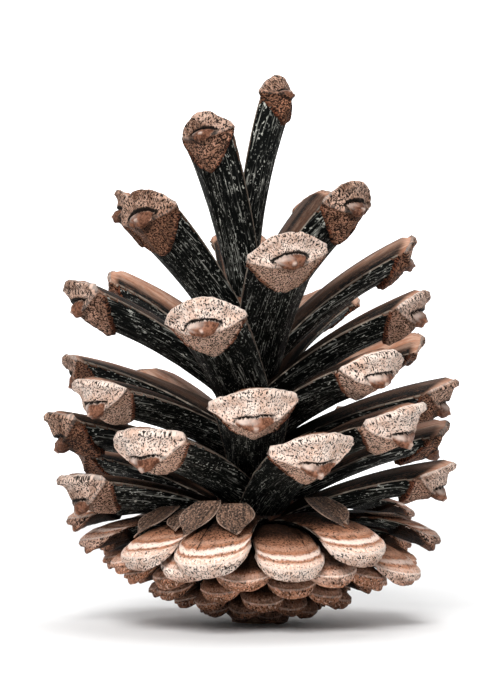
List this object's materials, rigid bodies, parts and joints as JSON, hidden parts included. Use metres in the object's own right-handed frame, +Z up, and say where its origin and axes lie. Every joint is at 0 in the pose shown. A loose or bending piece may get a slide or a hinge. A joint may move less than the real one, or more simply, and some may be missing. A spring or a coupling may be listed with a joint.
{
  "type": "pine cone",
  "caption": "Open, dry pine cone standing on its rounded base, with long woody scales in a spiral, each ending in a thick diamond-shaped tip with a small boss.",
  "frame": {"origin": "middle of the flat stalk scar under the cone, on the surface that it stands on", "axes": "+Z up along the cone from its base to its crown, -Y towards the front, +X to the right seen from the front"},
  "size_m": [0.0534, 0.0536, 0.0715],
  "materials": {
    "cone_wood": "dry, matt wood: near-black blades, pinkish-brown speckled scale ends"
  },
  "bodies": {
    "root": {"pine_cone": "cone_wood"}
  },
  "joints": []
}
